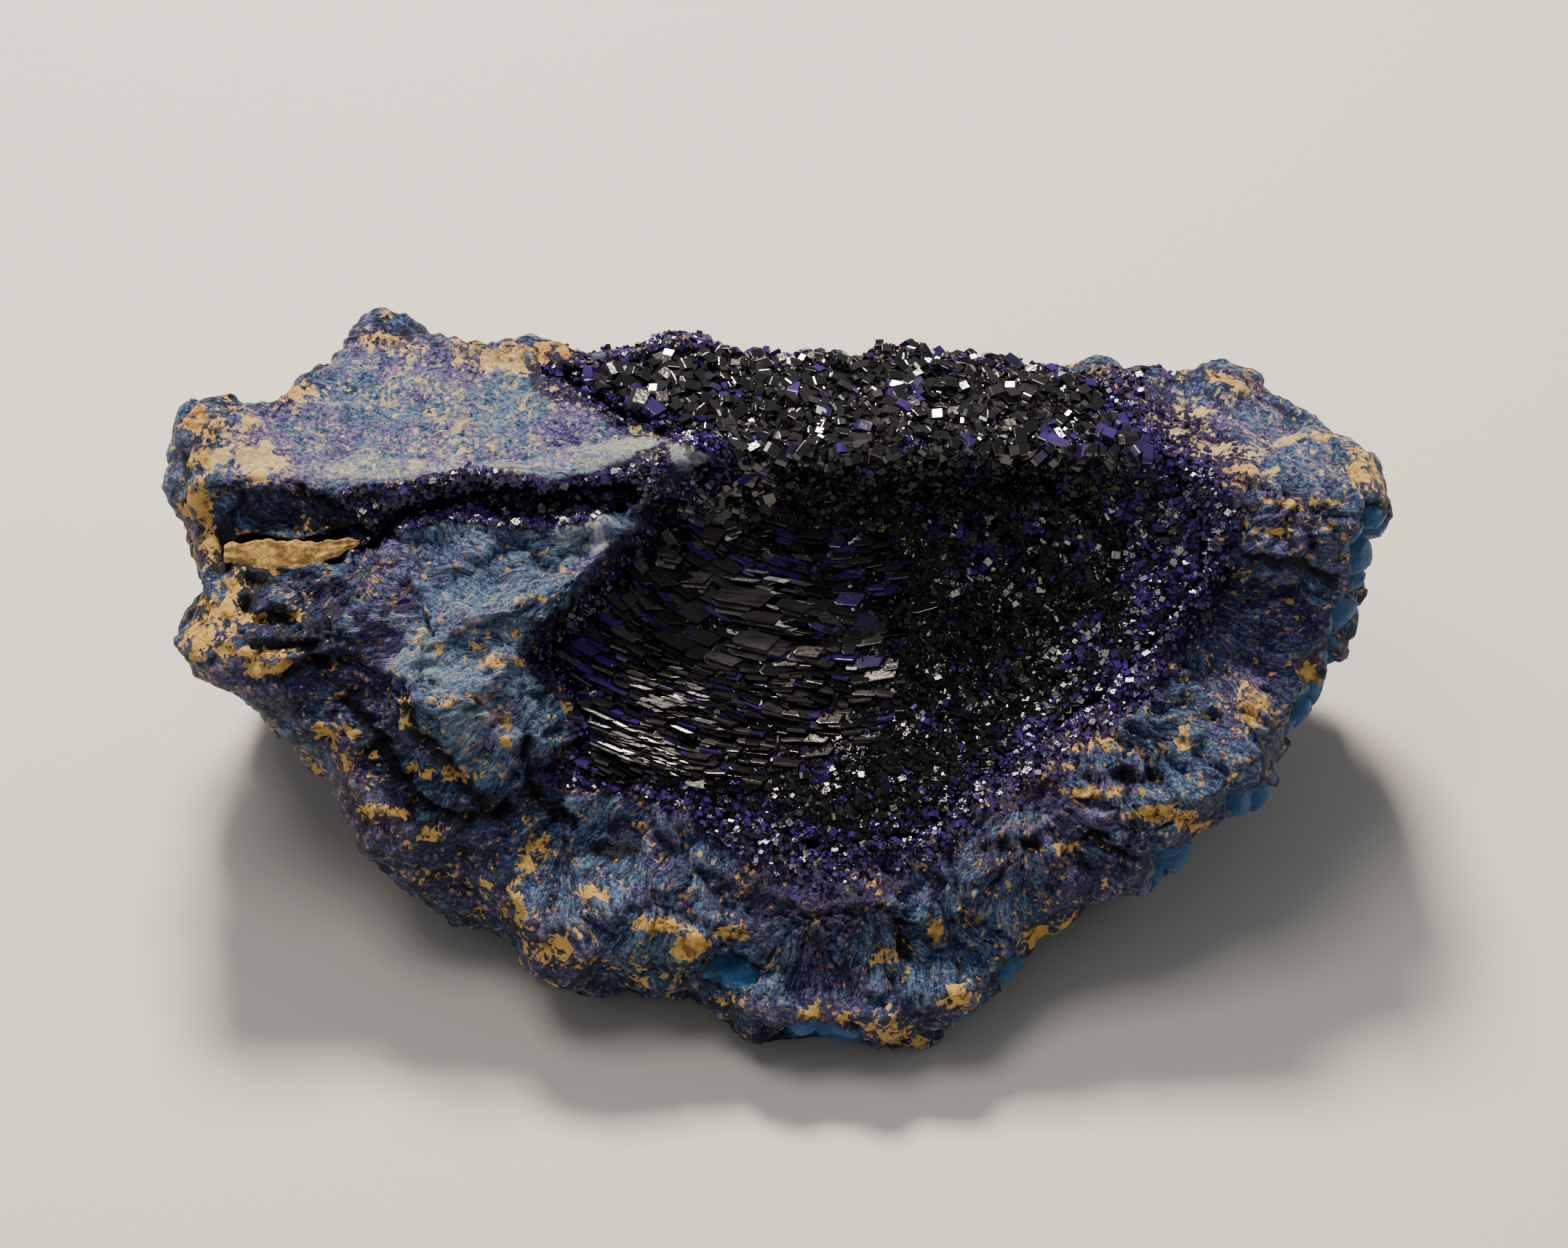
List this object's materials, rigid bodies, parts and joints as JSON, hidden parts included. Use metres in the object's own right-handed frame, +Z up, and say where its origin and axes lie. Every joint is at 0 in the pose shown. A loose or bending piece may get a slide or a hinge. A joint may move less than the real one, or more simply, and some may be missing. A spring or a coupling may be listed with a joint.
{
  "type": "azurite specimen",
  "caption": "Natural azurite specimen: a broken nodule with a slanting face, a hollow lined with dark blocky crystals, fibrous blue matrix with ochre clay and a knobbly outer skin.",
  "frame": {"origin": "middle of the bounding box, on the ground under the specimen", "axes": "+Z up from the flat base, +X along the width, and the broken face slopes down towards -Y at 45 degrees"},
  "size_m": [0.106, 0.061, 0.046],
  "materials": {
    "massive_azurite": "dull fibrous blue azurite with ochre clay and an earthy skin",
    "azurite_crystal": "glassy blue-black crystal faces"
  },
  "bodies": {
    "root": {"azurite_matrix": "massive_azurite", "crystal_crust": "azurite_crystal", "crevice_crust": "azurite_crystal"}
  },
  "joints": []
}
